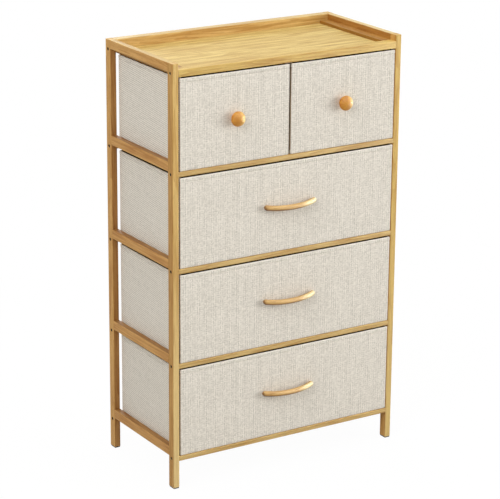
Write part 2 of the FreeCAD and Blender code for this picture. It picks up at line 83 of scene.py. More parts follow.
flat = math.cos(PITCH)
ahead = Vector((math.sin(YAW) * flat, math.cos(YAW) * flat, math.sin(PITCH)))
level = ahead.cross(Vector((0, 0, 1))).normalized()
upward = level.cross(ahead)
right = math.cos(ROLL) * level + math.sin(ROLL) * upward
up = math.cos(ROLL) * upward - math.sin(ROLL) * level
turn = Matrix((right, up, -ahead)).transposed().to_4x4()
lens = bpy.data.cameras.new("photo_camera")
lens.sensor_fit = "HORIZONTAL"
lens.sensor_width = SENSOR
lens.lens = SENSOR * FOCAL_PIXELS / PHOTO_WIDTH
camera = bpy.data.objects.new("photo_camera", lens)
camera.matrix_world = Matrix.Translation(STAND) @ turn
scene = bpy.context.scene
scene.collection.objects.link(camera)
scene.camera = camera
scene.view_settings.view_transform = "Standard"
print("camera: lens", round(lens.lens, 1), "mm")

# %% [markdown]
# Every finish below is a tree of nodes, and most of its nodes are plain arithmetic.
# They could be added and linked one by one, which soon hides what is being worked out.
# So a small class wraps one socket, and arithmetic on it is written as Python and adds the Math
# nodes by itself. Any other node comes from one method: its type, then its settings, then what goes
# into its sockets.


# %% Node helpers
class Wire:
    """One output socket of a node; arithmetic on it adds Math nodes to its tree."""

    def __init__(self, tree, socket):
        self.tree = tree
        self.socket = socket

    def out(self, name):
        """Another output of the same node."""
        return Wire(self.tree, self.socket.node.outputs[name])

    def maths(self, operation, *values):
        """A Math node of this tree."""
        return self.tree.add("ShaderNodeMath", {"operation": operation}, dict(enumerate(values)))

    def __add__(self, other):
        return self.maths("ADD", self, other)

    def __radd__(self, other):
        return self.maths("ADD", other, self)

    def __sub__(self, other):
        return self.maths("SUBTRACT", self, other)

    def __rsub__(self, other):
        return self.maths("SUBTRACT", other, self)

    def __mul__(self, other):
        return self.maths("MULTIPLY", self, other)

    def __rmul__(self, other):
        return self.maths("MULTIPLY", other, self)

    def __truediv__(self, other):
        return self.maths("DIVIDE", self, other)

    def __pow__(self, other):
        return self.maths("POWER", self, other)

    def __mod__(self, other):
        return self.maths("FLOORED_MODULO", self, other)

    def floor(self):
        return self.maths("FLOOR", self)

    def fract(self):
        return self.maths("FRACT", self)

    def clamp(self):
        return self.tree.add("ShaderNodeClamp", {}, {"Value": self})

    def spread(self, low, high):
        """0 at low, 1 at high, smooth between."""
        sockets = {"Value": self, "From Min": low, "From Max": high}
        return self.tree.add("ShaderNodeMapRange", {"interpolation_type": "SMOOTHSTEP"}, sockets)


class Tree:
    """A node tree that takes nodes by type, settings and sockets."""

    def __init__(self, tree):
        self.tree = tree

    def add(self, kind, settings=None, sockets=None, output=0):
        """A new node: a socket takes a value, a wire, or a list of wires."""
        node = self.tree.nodes.new(kind)
        for name, value in (settings or {}).items():
            setattr(node, name, value)
        for name, value in (sockets or {}).items():
            if isinstance(value, (Wire, list)):
                for wire in value if isinstance(value, list) else [value]:
                    self.tree.links.new(wire.socket, node.inputs[name])
            else:
                node.inputs[name].default_value = value
        return Wire(self, node.outputs[output]) if node.outputs else None

    def mix(self, factor, first, second, blend="MIX"):
        """Two colours mixed by a factor; either may be a wire or a plain colour."""
        settings = {"data_type": "RGBA", "blend_type": blend, "clamp_factor": True}
        sockets = {0: factor}
        for index, colour in ((6, first), (7, second)):
            sockets[index] = colour if isinstance(colour, Wire) else (*colour, 1)
        return self.add("ShaderNodeMix", settings, sockets, output=2)


print("node helpers ready")

# %% [markdown]
# All finishes start from an empty material and end in one shader, so both ends are written once.
# Colours are given as they are picked on a screen, which reads more easily than linear shares.


# %% Finish helpers
def colour(red, green, blue):
    """A colour as picked on a screen, 0 to 255, in the linear values that shaders use."""
    parts = (value / 255 for value in (red, green, blue))
    return tuple(v / 12.92 if v <= 0.04045 else ((v + 0.055) / 1.055) ** 2.4 for v in parts)


def new_finish(name):
    """An empty material and the tree that fills it."""
    material = bpy.data.materials.new(name)
    material.use_nodes = True
    material.node_tree.nodes.clear()
    return material, Tree(material.node_tree)


def surface(tree, base, roughness, bump, **constants):
    """The shader that ends every finish: what varies is linked, what is constant is set.

    The bump is a height, its strength and its distance in metres.
    """
    relief = dict(zip(("Height", "Strength", "Distance"), bump))
    normal = tree.add("ShaderNodeBump", {}, relief, output="Normal")
    sockets = {"Base Color": base, "Roughness": roughness, "Normal": normal}
    sockets.update({name.replace("_", " "): value for name, value in constants.items()})
    shader = tree.add("ShaderNodeBsdfPrincipled", {}, sockets)
    tree.add("ShaderNodeOutputMaterial", {}, {"Surface": shader})


print("mid grey is", [round(value, 3) for value in colour(128, 128, 128)], "to a shader")

# %% [markdown]
# The frame is of pale honey coloured strips, straight in the grain, under a satin lacquer.
# A wood texture could be drawn with the Wave node, but its lines are too even for sawn timber.
# Noise that is drawn out along the fibres looks more like it: wide soft bands of growth, fine
# fibres and short pores. Each piece gets the finish whose fibres run along its own length, so
# posts, rails and panels differ as sawn pieces do.

# %% Wood
VARNISH = (1.0, 0.92, 0.74)
# Cream is the colour of painted light: on the tops of the rims and along the front faces.
CREAM = colour(246, 226, 170)
# Noise along the fibres: reach along them and width across them in millimetres, seed and detail
STREAKS = {
    "tone": (150, 12, 1.7, 2.5),
    "growth": (380, 24, 4.1, 1.5),
    "fibres": (80, 1.1, 7.3, 3.0),
    "dashes": (64, 3.4, 3.3, 1.5),
    "pores": (11, 0.45, 9.9, 0.0),
}
GROWTH_BANDS, LATE_START, LATE_END = 9.0, 0.15, 0.95
LATE_SHARE, FIBRE_SHARE, PORE_SHARE = 0.42, 0.9, 0.35
MEAN_TONE, LEAST_DEPTH = 0.42, 0.08
PORE_SPAN = (0.64, 0.74)
ROUGH_FIBRES, ROUGH_PORES = 0.22, 0.1
GRAIN_BUMP = (0.12, 0.2 * MM)
FRONT_SPAN = (0.05, 0.4)


def wood(
    name, along, pale, deep, pore, gloss=0.46, shine=0.25, flame=1.7, dash=0.7, tints=(),
    top_highlight=0.0, fade=None,
):
    """A lacquered wood with fibres along X, Y or Z, in pale, deep and pore colours.

    Gloss is the lacquer's roughness and shine its reflection. Flame and dash say how strong the
    wide and the narrow streaks are. A fade is painted light: its share of cream on the front faces,
    and where along the piece it starts and is full, in millimetres.
    """
    material, tree = new_finish(name)
    place = tree.add("ShaderNodeTexCoord", output="Object")
    split = tree.add("ShaderNodeSeparateXYZ", {}, {"Vector": place})
    x, y, z = (split.out(axis) / MM for axis in "XYZ")
    length, across, through = {"X": (x, y, z), "Y": (y, z, x), "Z": (z, x, y)}[along]

    def streaks(kind):
        reach, width, seed, detail = STREAKS[kind]
        drawn_out = {0: length / reach, 1: across / width, 2: through / width}
        spot = tree.add("ShaderNodeCombineXYZ", {}, drawn_out)
        sockets = {"Vector": spot, "W": seed, "Scale": 1.0, "Detail": detail, "Roughness": 0.6}
        return tree.add("ShaderNodeTexNoise", {"noise_dimensions": "4D"}, sockets)

    growth = (streaks("growth") * GROWTH_BANDS).fract()
    late_wood = growth.spread(LATE_START, LATE_END) * (1 - growth.spread(LATE_END, 1.0))
    fibres = streaks("fibres")
    pores = streaks("pores").spread(*PORE_SPAN)
    wide = flame * (streaks("tone") - MEAN_TONE)
    narrow = FIBRE_SHARE * (fibres - 0.5) + dash * (streaks("dashes") - 0.5)
    depth = LATE_SHARE * late_wood + wide + narrow + LEAST_DEPTH
    base = tree.mix(depth.clamp(), pale, deep)
    base = tree.mix(pores * PORE_SHARE, base, pore)
    normal = tree.add("ShaderNodeTexCoord", output="Normal")
    facing = tree.add("ShaderNodeSeparateXYZ", {}, {"Vector": normal})

    def towards(way, low=0.5, high=0.95):
        """1 on the faces that look one way, such as -Y, and 0 on the others."""
        sign, axis = way
        return (facing.out(axis) * (1 if sign == "+" else -1)).spread(low, high)

    # Tints on the faces that look one way: most are painted shade, and the knobs' tint is a painted
    # highlight.
    for way, tint, *span in tints:
        base = tree.mix(towards(way, *span), base, tree.mix(1.0, base, tint, "MULTIPLY"))
    # A painted highlight: a share of cream on the faces that look up.
    if top_highlight:
        base = tree.mix(top_highlight * towards("+Z"), base, CREAM)
    # Painted light: a share of cream on the front faces along the piece.
    if fade:
        share, start, end = fade
        painted_glow = share * towards("-Y", *FRONT_SPAN) * length.spread(start, end)
        base = tree.mix(painted_glow, base, CREAM)
    roughness = gloss + ROUGH_FIBRES * (fibres - 0.5) + ROUGH_PORES * pores
    bump = (fibres * 0.5 - pores, *GRAIN_BUMP)
    lacquer = dict(Specular_IOR_Level=shine, Specular_Tint=(*VARNISH, 1))
    surface(tree, base, roughness, bump, **lacquer)
    return material


print("kinds of streaks:", list(STREAKS))

# %% [markdown]
# Faces that look one way get tints, and most of these are painted shade. The sides of the posts
# and rails are deeper and more orange, partly the strips' own deeper edges and partly painted
# shade. The tops of the side rails, the inside of the rim, the step and top of the end rails, the
# fronts of the rear posts and the left ends and undersides of the handles are darkened as painted
# shade, and the knobs get a painted highlight on their right sides.
# Each face could have a material of its own, but then every piece would need many. So a finish
# takes tints, each for the faces that look one way, which the Normal output gives in the object's
# own directions. The rims also get a painted highlight, a share of cream on the faces that look up.
# Front faces may get painted light along the piece too, a share of cream: the front posts towards
# the floor, for the light off it, and the handles towards their lit right ends.

# %% Colours of the wood
HONEY = dict(pale=colour(222, 187, 117), deep=colour(184, 138, 70), pore=colour(128, 86, 40))
PANEL = dict(pale=colour(226, 200, 126), deep=colour(180, 140, 68), pore=colour(136, 98, 48))
TURNED = dict(pale=colour(208, 146, 54), deep=colour(180, 110, 33), pore=colour(140, 82, 32))
BENT = dict(pale=colour(202, 161, 94), deep=colour(174, 128, 66), pore=colour(150, 98, 46))
# Tints of the posts and side rails: the side tints are partly the strips' deeper edges and partly
# painted shade
EDGE_TONE_AND_SIDE_SHADE = (0.88, 0.73, 0.60)
POST_EDGE_AND_SIDE_SHADE = (0.76, 0.63, 0.51)
RIGHT_POST = (0.90, 0.89, 0.68)
# Painted shade on the fronts of the rear posts, which the bins shade.
REAR_POST_FRONT_SHADE = (0.57, 0.42, 0.36)
RAIL_SIDE_TONE_AND_SHADE = (0.84, 0.67, 0.54)
# Painted shade on the tops of the side rails, under the cloth of the bins.
RAIL_TOP_SHADE = (0.51, 0.38, 0.31)
# Tints of the rails across the front, the top and its rim
THIN_RAIL = (0.87, 0.89, 0.96)
TOP_RAIL = (0.88, 0.88, 0.67)
TOP_FACE = (0.99, 1.05, 0.84)
RIM_TOP = (0.82, 0.82, 0.76)
# Painted shade on the inner faces of the rim.
RIM_INSIDE_SHADE = (0.62, 0.43, 0.24)
# Painted shade on the step beside the top panel, and on the top of the end rails.
END_RAIL_STEP_SHADE = (0.50, 0.36, 0.18)
END_RAIL_TOP_SHADE = (0.66, 0.50, 0.31)
# Tints of the handles and knobs: painted shade on the handles' left ends and undersides
HANDLE_END_SHADE = (0.45, 0.36, 0.30)
HANDLE_UNDERSIDE_SHADE = (0.42, 0.31, 0.25)
# A painted highlight on the knobs' right sides.
KNOB_SIDE_HIGHLIGHT = (1.30, 1.95, 3.40)


def sides(left, right=None):
    """Tints for the faces that look to the left and to the right."""
    return (("-X", left), ("+X", right or left))


FRAME_WOODS = {
    # The front posts' fades are painted light off the floor, paler towards it.
    "left_post_wood": dict(along="Z", shine=0.15, tints=sides(POST_EDGE_AND_SIDE_SHADE), fade=(0.40, 750, 0)),
    "right_post_wood": dict(
        along="Z",
        shine=0.15,
        tints=(*sides(EDGE_TONE_AND_SIDE_SHADE), ("-Y", RIGHT_POST)),
        fade=(0.26, 750, 0),
    ),
    # The rear posts: painted shade on their fronts, behind the bins.
    "rear_post_wood": dict(along="Z", tints=(*sides(EDGE_TONE_AND_SIDE_SHADE), ("-Y", REAR_POST_FRONT_SHADE))),
    # The side rails: painted shade on their tops, and partly painted shade on their sides.
    "side_rail_wood": dict(
        along="Y", flame=2.6, dash=1.5, tints=(*sides(RAIL_SIDE_TONE_AND_SHADE), ("+Z", RAIL_TOP_SHADE))
    ),
    # The rims: painted shade on their inner faces.
    "left_rim_wood": dict(
        along="Y", tints=(*sides(EDGE_TONE_AND_SIDE_SHADE, RIM_INSIDE_SHADE), ("+Z", RIM_TOP)), top_highlight=0.1
    ),
    "right_rim_wood": dict(
        along="Y", tints=(*sides(RIM_INSIDE_SHADE, EDGE_TONE_AND_SIDE_SHADE), ("+Z", RIM_TOP)), top_highlight=0.4
    ),
    # The end rails: painted shade on their step and on their top.
    "end_rail_wood": dict(along="Y", tints=(*sides(END_RAIL_STEP_SHADE), ("+Z", END_RAIL_TOP_SHADE))),
    "cross_rail_wood": dict(along="X", flame=2.2, tints=(("-Y", THIN_RAIL),)),
    "top_rail_wood": dict(
        along="X", flame=2.4, dash=1.6, tints=(("-Y", TOP_RAIL), ("+Z", TOP_FACE))
    ),
    # The shares of cream on the tops of the rims, here and above, are painted highlights.
    "back_rim_wood": dict(along="X", flame=2.8, dash=1.2, tints=(("+Z", RIM_TOP),), top_highlight=0.3),
}
woods = {name: wood(name, **HONEY, **look) for name, look in FRAME_WOODS.items()}
woods["panel_wood"] = wood("panel_wood", "X", **PANEL, shine=0.15, dash=1.5)
# Painted shade on the handles' left ends and undersides.
HANDLE_SHADE_TINTS = (("-X", HANDLE_END_SHADE, 0.3, 0.8), ("-Z", HANDLE_UNDERSIDE_SHADE, 0.1, 0.6))
# Painted light: the handles' fronts go to cream towards their lit right ends.
HANDLE_PAINTED_LIGHT = (0.75, 15, 50)
handle_wood = wood(
    "handle_wood", "X", **BENT, gloss=0.6, shine=0.7, tints=HANDLE_SHADE_TINTS, fade=HANDLE_PAINTED_LIGHT
)
# A painted highlight on the knobs' right sides, where the lamps fall.
KNOB_HIGHLIGHT_TINTS = (("+X", KNOB_SIDE_HIGHLIGHT, -0.1, 0.55),)
knob_wood = wood("knob_wood", "Y", **TURNED, gloss=0.55, shine=0.5, tints=KNOB_HIGHLIGHT_TINTS)
print("wood finishes:", sorted(woods))

# %% [markdown]
# The wooden CAD pieces have the right shape already, so they only get their wood. It could be named
# piece by piece; the start of a piece's name is enough, and a later row goes before an earlier one.

# %% Dress the frame
WOODEN = {
    "post_front_left": "left_post_wood",
    "post_front_right": "right_post_wood",
    "post_rear_": "rear_post_wood",
    "side_rail_": "side_rail_wood",
    "side_rail_left_5": "left_rim_wood",
    "side_rail_right_5": "right_rim_wood",
    "top_end_rail_": "end_rail_wood",
    "front_rail_": "cross_rail_wood",
    "front_rail_top": "top_rail_wood",
    "back_rail_": "cross_rail_wood",
    "back_rail_top": "back_rim_wood",
    "shelf_panel_": "panel_wood",
    "top_panel": "panel_wood",
}


def dress(node, material):
    """Gives a CAD piece its finish; its shape stays as it is."""
    mesh = nodes[node].data
    mesh.materials.clear()
    mesh.materials.append(material)


for node in nodes:
    for start, kind in WOODEN.items():
        if node.startswith(start):
            dress(node, woods[kind])
    if node.endswith("_knob"):
        dress(node, knob_wood)
print("wooden pieces:", sum(node.startswith(tuple(WOODEN)) for node in nodes))

# %% [markdown]
# Three drawers have a bow handle: a round bar, bent outwards so that a hand fits behind it, with
# rounded ends that stand flat on the cloth. The bar also hangs a little in its middle, so that its
# ends lie higher.
# A curve with a bevel would give the bar, but not its ends, so the rings along it are worked out
# one by one. Near the ends the rings get smaller as on a ball, and no point goes further back than
# the face of the drawer.

# %% Bow handles
# The bar's radius, the dip in its middle, and how its ends lie to the CAD handle, in millimetres
BAR, DIP, END_LIFT, END_GAP = 6.2, 4.4, 3.4, 0.5
# How late the bow bends, how far its ends stand out, and its last ring, as shares of the radius
BEND, SEAT, TIP = 2.5, 0.95, 0.02
END_RINGS, BAR_RINGS, BAR_SIDES = 9, 36, 24


def spaced(start, end, step):
    """Stations from start to end, about a step apart."""
    count = max(1, round((end - start) / step))
    return [start + (end - start) * index / count for index in range(count + 1)]


def as_piece(name, mesh, finishes):
    """Makes an object of the scene from a worked out mesh, with its finishes in their order."""
    data = bpy.data.meshes.new(name)
    mesh.to_mesh(data)
    mesh.free()
    for finish in finishes:
        data.materials.append(finish)
    piece = bpy.data.objects.new(name, data)
    scene.collection.objects.link(piece)
    return piece


def bow_handle(drawer):
    """A handle in the place of the CAD one, with soft ends that stand on the drawer's face."""
    low, high = (Vector(corner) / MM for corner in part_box(f"{drawer}_handle"))
    face, height = high.y, (low.z + high.z) / 2 + END_LIFT
    reach = (high.x - low.x) / 2 - END_GAP
    foot, bow = face - SEAT * BAR, low.y + BAR
    inner = reach - BAR
    turns = [math.pi / 2 * step / END_RINGS for step in range(END_RINGS, 0, -1)]
    ends = [inner + BAR * math.sin(turn) for turn in turns]
    along = spaced(-inner, inner, 2 * inner / BAR_RINGS)
    mesh = bmesh.new()
    rows = []
    for x in [-end for end in ends] + along + ends[::-1]:
        share = abs(x / reach)
        y = bow + (foot - bow) * share**BEND
        z = height - DIP * (1 - share**2)
        slope = math.copysign(BEND * (foot - bow) / reach * share ** (BEND - 1), x)
        way = Vector((-slope, 1, 0)).normalized()
        past = max(0.0, abs(x) - inner) / BAR
        radius = BAR * max(TIP, math.sqrt(max(0.0, 1 - past * past)))
        row = []
        for side in range(BAR_SIDES):
            angle = 2 * math.pi * side / BAR_SIDES
            spoke = math.cos(angle) * way + math.sin(angle) * Vector((0, 0, 1))
            spot = Vector((x, y, z)) + radius * spoke
            row.append(mesh.verts.new(Vector((spot.x, min(spot.y, face), spot.z)) * MM))
        rows.append(row)
    for row, following in zip(rows, rows[1:]):
        for side in range(BAR_SIDES):
            after = (side + 1) % BAR_SIDES
            mesh.faces.new((row[side], row[after], following[after], following[side]))
    mesh.faces.new(rows[0])
    mesh.faces.new(rows[-1])
    bmesh.ops.recalc_face_normals(mesh, faces=mesh.faces)
    for part in mesh.faces:
        part.smooth = True
    piece = as_piece(f"{drawer}_bow_handle", mesh, [handle_wood])
    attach(piece, drawer)
    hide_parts(f"{drawer}_handle")
    return piece


for drawer in DRAWERS:
    if f"{drawer}_handle" in nodes:
        print(bow_handle(drawer).name, "made")

# %% [markdown]
# The boards inside the cloth are raw fibreboard, the feet are dark plastic and the screws are
# blackened steel. None of them shows much, but a drawer that is pulled out shows its boards and the
# screw heads of its handle. Three trees could be drawn for them; one of fine specks with a wide
# soft cloud over it serves all three, because only its colours and its grain differ.

# %% Boards, feet and steel
CLOUD = 40
SPECK_SPAN, SPECK_SHARE, CLOUD_SHARE = (0.35, 0.7), 0.8, 0.4
ROUGH_SPECKS = 0.2
SPECK_BUMP = (0.2, 0.1 * MM)


def speckled(name, base, speck, grain, gloss, metal=0.0):
    """Specks on a base, of a grain in millimetres: pressed fibres, moulded grain or blackening."""
    material, tree = new_finish(name)
    place = tree.add("ShaderNodeTexCoord", output="Object")
    fine = {"Vector": place, "Scale": 1 / (grain * MM), "Detail": 4.0, "Roughness": 0.65}
    wide = {"Vector": place, "Scale": 1 / (CLOUD * grain * MM), "Detail": 2.0}
    specks, cloud = (tree.add("ShaderNodeTexNoise", {}, sockets) for sockets in (fine, wide))
    share = specks.spread(*SPECK_SPAN) * SPECK_SHARE + CLOUD_SHARE * (cloud - 0.5)
    tint = tree.mix(share.clamp(), base, speck)
    roughness = gloss + ROUGH_SPECKS * (specks - 0.5)
    surface(tree, tint, roughness, (specks, *SPECK_BUMP), Metallic=metal)
    return material


fibreboard = speckled("fibreboard", colour(186, 158, 122), colour(150, 120, 84), 1.2, 0.75)
dark_plastic = speckled("dark_plastic", colour(36, 32, 28), colour(22, 19, 16), 0.5, 0.5)
dark_steel = speckled("dark_steel", colour(34, 29, 25), colour(18, 15, 13), 0.8, 0.55, metal=0.3)
for node in nodes:
    if node.endswith(("_front_board", "_base_board")):
        dress(node, fibreboard)
dress("foot_pads", dark_plastic)
print("boards and feet dressed")

# %% [markdown]
# The bins are covered in an off-white linen look cloth: threads about a millimetre thick, woven two
# over two. A picture of cloth would be one way; here the weave is worked out from two coordinates
# that run along the cloth, so it is sharp at any distance.
# Each thread has its own tone, which changes slowly along it, so the cloth is full of short fine
# lines. Where a pair of threads passes over the other it stands higher and has a tone of its own,
# and the bump follows that. Every second pair may be darker, which gives ribs: the side cloth has
# strong ones, and it is cut a little askew, so that they lean.

# %% Cloth
# How far threads waver, in threads; the waves of that and of the tones along them in millimetres
THREAD_WAVER, LONG_WAVE, SHORT_WAVE = 0.5, 90, 30
UP_WAVE, SIDE_WAVE, PAIR_STEP = 80, 40, 1.7
UP_LINES, SIDE_LINES = 0.46, 0.2
FLECK_SHARE, SIDE_RIBS = 0.44, 0.08
MEAN_PALE, WEAVE_SHARE, MEAN_WEAVE = 0.6, 0.2, 0.6
CLOTH_ROUGHNESS = 0.88
WEAVE_BUMP = (0.3, 0.25 * MM)


def cloth(
    name, thread, shade, warp=1.5, weft=1.25, lines=1.0, flecks=1.0, ribs=0.17, skew=0.0,
    sheen=0.1,
):
    """A weave on the cloth's own UV map, which is in metres; warp and weft are in millimetres.

    Lines, flecks and ribs say how strong each kind of unevenness is, and skew how far the threads
    lean.
    """
    material, tree = new_finish(name)
    flat = tree.add("ShaderNodeUVMap", {"uv_map": "cloth"})
    split = tree.add("ShaderNodeSeparateXYZ", {}, {"Vector": flat})
    u, v = (split.out(axis) / MM for axis in "XY")
    u = u + skew * v

    def uneven(across, along, seed):
        spot = tree.add("ShaderNodeCombineXYZ", {}, {0: across, 1: along, 2: seed})
        sockets = {"Vector": spot, "Scale": 1.0, "Detail": 1.0}
        return tree.add("ShaderNodeTexNoise", {}, sockets) - 0.5

    up_waver = uneven(u / LONG_WAVE, v / SHORT_WAVE, seed=3.1)
    side_waver = uneven(u / SHORT_WAVE, v / LONG_WAVE, seed=5.7)
    up_thread = u / warp + THREAD_WAVER * up_waver
    side_thread = v / weft + THREAD_WAVER * side_waver
    up_pair, side_pair = (up_thread / 2).floor(), (side_thread / 2).floor()
    up_round = 1 - (2 * up_thread.fract() - 1) ** 2
    side_round = 1 - (2 * side_thread.fract() - 1) ** 2
    up_on_top = (up_pair + side_pair) % 2
    weave = up_on_top * up_round + (1 - up_on_top) * side_round
    up_tone = uneven(up_pair * PAIR_STEP, v / UP_WAVE, seed=11.3)
    side_tone = uneven(side_pair * PAIR_STEP, u / SIDE_WAVE, seed=17.9)
    crossing = tree.add("ShaderNodeCombineXYZ", {}, {0: up_pair, 1: side_pair})
    flat_noise = {"noise_dimensions": "2D"}
    fleck = tree.add("ShaderNodeTexWhiteNoise", flat_noise, {"Vector": crossing}) - 0.5
    ribbed = ribs * (up_pair % 2 - 0.5) + SIDE_RIBS * (side_pair % 2 - 0.5)
    lined = lines * (UP_LINES * up_tone + SIDE_LINES * side_tone)
    tones = lined + ribbed + flecks * FLECK_SHARE * fleck
    pale = MEAN_PALE + WEAVE_SHARE * (weave - MEAN_WEAVE) + tones
    base = tree.mix(pale.clamp(), shade, thread)
    bump = (weave + 0.5 * tones, *WEAVE_BUMP)
    gleam = dict(Sheen_Weight=sheen, Specular_IOR_Level=2 * sheen)
    surface(tree, base, CLOTH_ROUGHNESS, bump, **gleam)
    return material


LINEN = dict(thread=colour(243, 236, 224), shade=colour(186, 179, 165))
# The lining's dark brown is painted shade: it keeps the gap above each front dark.
LINING_SHADE_BROWN = dict(thread=colour(92, 70, 45), shade=colour(58, 41, 24))
# The hem's tape is a pale binding and partly a painted highlight along the top edge of each front.
TAPE_WHITE_AND_HIGHLIGHT = dict(thread=colour(250, 245, 236), shade=colour(218, 210, 197))
linen = cloth("linen_cloth", **LINEN)
side_linen = cloth(
    "side_linen_cloth", **LINEN, warp=1.18, lines=0.6, flecks=0.7, ribs=0.6, skew=0.093
)
lining = cloth("lining_cloth", **LINING_SHADE_BROWN, warp=0.7, weft=0.7, flecks=0.5, sheen=0.0)
tape = cloth("hem_tape", **TAPE_WHITE_AND_HIGHLIGHT, warp=0.8, weft=0.8, flecks=0.5)
print("cloths:", [finish.name for finish in (linen, side_linen, lining, tape)])

# %% [markdown]
# A bin is five panels of cloth over card, sewn together: a soft box whose walls are never quite
# flat. Cloth simulation is one way to soften a box, but these walls are card under cloth and hardly
# give, so they are shaped by rules that are easy to steer.
# A bin is built as one skin that starts under the floor, goes up the outside, rolls over the hem
# and comes down inside. A list of rings says how far out and how high each step of that skin lies,
# and the outline says where it goes round.

# %% Sewn bins: the outline and the rings
# Sizes in millimetres: rounded corners, walls, hem, seam behind the front, and steps of the skin
CORNER, CORNER_STEPS = 1.8, 6
WALL = 3.9
HEM, HEM_OUT = 9.5, 0.3
SEAM, SEAM_CLEAR = 14.0, 3.0
CLOTH_STEP, LINING_STEP = 9.0, 12.0
# The fold under the floor, the roll of the hem, and where the inside starts and ends
FOLD, FOLD_STEPS = 3, 4
RIM, RIM_STEPS = 2, 8
INSIDE_LOW, INSIDE_DROP = 2.9, 5
# The groove of the hem's stitching: how far out, and how far below the hem's line
HEM_GROOVE = (
    (-0.1, 1.0), (-0.5, 0.4), (-0.55, 0.0), (-0.4, -0.4), (0.1, -1.0), (HEM_OUT, -2.2),
    (HEM_OUT, -5.0),
)
GROOVE_BOTTOM = min(out for out, drop in HEM_GROOVE)
BELOW_GROOVE = 1.4
BESIDE_SEAM = (-11.0, -9.5, -7.5, -1.6, -0.8, 0.0, 0.8, 1.6, 7.5, 9.5, 11.0)
Point = namedtuple("Point", "place way wall share travelled")
Marks = namedtuple("Marks", "hem tape rim")


def with_seam(stations, seam):
    """The stations with a few more beside a seam, so that its groove is sharp."""
    close = [seam + offset for offset in BESIDE_SEAM]
    return sorted([s for s in stations if abs(s - seam) > SEAM_CLEAR] + close)


def outline(width, depth):
    """Once round a bin from its front left corner, anticlockwise, as points and a whole length.

    A point has its place, its way out, its wall, its share along that wall and its distance round.
    """
    walls = (
        ("front", Vector((0, 0)), Vector((1, 0)), width),
        ("right", Vector((width, 0)), Vector((0, 1)), depth),
        ("back", Vector((width, depth)), Vector((-1, 0)), width),
        ("left", Vector((0, depth)), Vector((0, -1)), depth),
    )
    points = []
    travelled = 0.0
    for wall, corner, along, length in walls:
        stations = spaced(CORNER, length - CORNER, CLOTH_STEP)
        if wall == "right":
            stations = with_seam(stations, SEAM)
        if wall == "left":
            stations = with_seam(stations, length - SEAM)
        out = Vector((along.y, -along.x))
        for station in stations:
            place = corner + along * station
            points.append(Point(place, out, wall, station / length, travelled + station))
        centre = corner + along * (length - CORNER) - out * CORNER
        for step in range(1, CORNER_STEPS):
            angle = math.pi / 2 * step / CORNER_STEPS
            way = out * math.cos(angle) + along * math.sin(angle)
            distance = travelled + length - CORNER + CORNER * angle
            points.append(Point(centre + way * CORNER, way, "corner", 0.0, distance))
        travelled += length - 2 * CORNER + math.pi / 2 * CORNER
    return points, travelled


def skin_rings(height):
    """How far out and how high each ring lies, from under the floor to the inside, and its marks.

    The marks are the rings at the bottom of the hem's groove, the start of its tape and its top.
    """
    rings = []
    for step in range(FOLD_STEPS + 1):
        angle = math.pi / 2 * step / FOLD_STEPS
        rings.append((FOLD * math.sin(angle) - FOLD, FOLD - FOLD * math.cos(angle)))
    rings += [(0.0, z) for z in spaced(FOLD, height - HEM - BELOW_GROOVE, CLOTH_STEP)[1:]]
    rings += [(out, height - HEM - drop) for out, drop in HEM_GROOVE]
    middle, reach = (HEM_OUT - WALL) / 2, (HEM_OUT + WALL) / 2
    for step in range(RIM_STEPS + 1):
        angle = math.pi * step / RIM_STEPS
        rings.append((middle + reach * math.cos(angle), height - RIM + RIM * math.sin(angle)))
    inside = spaced(INSIDE_LOW, height - INSIDE_DROP, LINING_STEP)
    rings += [(-WALL, z) for z in reversed(inside)]
    hem = next(index for index, ring in enumerate(rings) if ring[0] == GROOVE_BOTTOM)
    tape_start = next(index for index, ring in enumerate(rings) if ring[1] >= height - RIM)
    rim = max(range(len(rings)), key=lambda index: rings[index][1])
    return rings, Marks(hem, tape_start, rim)


print("hem groove:", -GROOVE_BOTTOM, "mm deep,", HEM, "mm below the top")

# %% [markdown]
# What makes the box soft is a handful of small rules, each a function of where a point lies.
# They could be sculpted by hand instead, but as rules they fit every bin, whatever its width.
# Small bulges between the corners and a groove along the stitching make it cloth. Slack walls are
# drawn in behind the stiff front and come out again further on, and the hems sag, more on the lower
# drawers.

# %% Sewn bins: what makes them cloth
# How far a wall ripples and swells, and the ripples' length along the wall and up it
BULGE = {wall: (0.75, -0.7) for wall in ("right", "back", "left")} | {"front": (0.18, 0.1)}
WIDE_RIPPLE, NARROW_RIPPLE = (95, 70), (38, 45)
SEAM_DEEP, SEAM_WIDE = 0.6, 0.7
# Slack walls: how far they are drawn in, how far they come out, and where that starts and ends
SLACK = {drawer: {"left": (5.0, 1.2, 12, 45)} for drawer in DRAWERS}
SLACK["top_left_drawer"]["right"] = SLACK["top_right_drawer"]["left"] = (3.2, 2.4, 25, 80)
# How soon they are drawn in, and how far the back and the floor still hold them
CATCH, BACK_HOLD, FLOOR_HOLD = 2.5, 12, 12
SAG = {drawer: 0.4 for drawer in DRAWERS} | {"middle_drawer": 1.4, "lower_drawer": 1.6}
FRONT_SAG, SAG_START = 0.2, 0.4


def behind_front(point, depth):
    """How far behind the bin's front a point of a side wall lies, in millimetres."""
    return (point.share if point.wall == "right" else 1 - point.share) * depth


def soften(point, z, height, seed):
    """How far the cloth of a wall bulges out, in millimetres, at a height."""
    if point.wall == "corner":
        return 0.0

    def ripple(size, seed):
        along, up = size
        return noise.noise(Vector((point.travelled / along, z / up, seed)))

    ripples, swells = BULGE[point.wall]
    fade = min(1.0, 6 * point.share, 6 * (1 - point.share)) * min(1.0, 5 * z / height)
    rippled = ripple(WIDE_RIPPLE, seed) + 0.5 * ripple(NARROW_RIPPLE, seed + 5)
    swell = math.sin(math.pi * point.share) * math.sin(math.pi * min(1.0, z / height))
    return fade * ripples * rippled + swells * swell


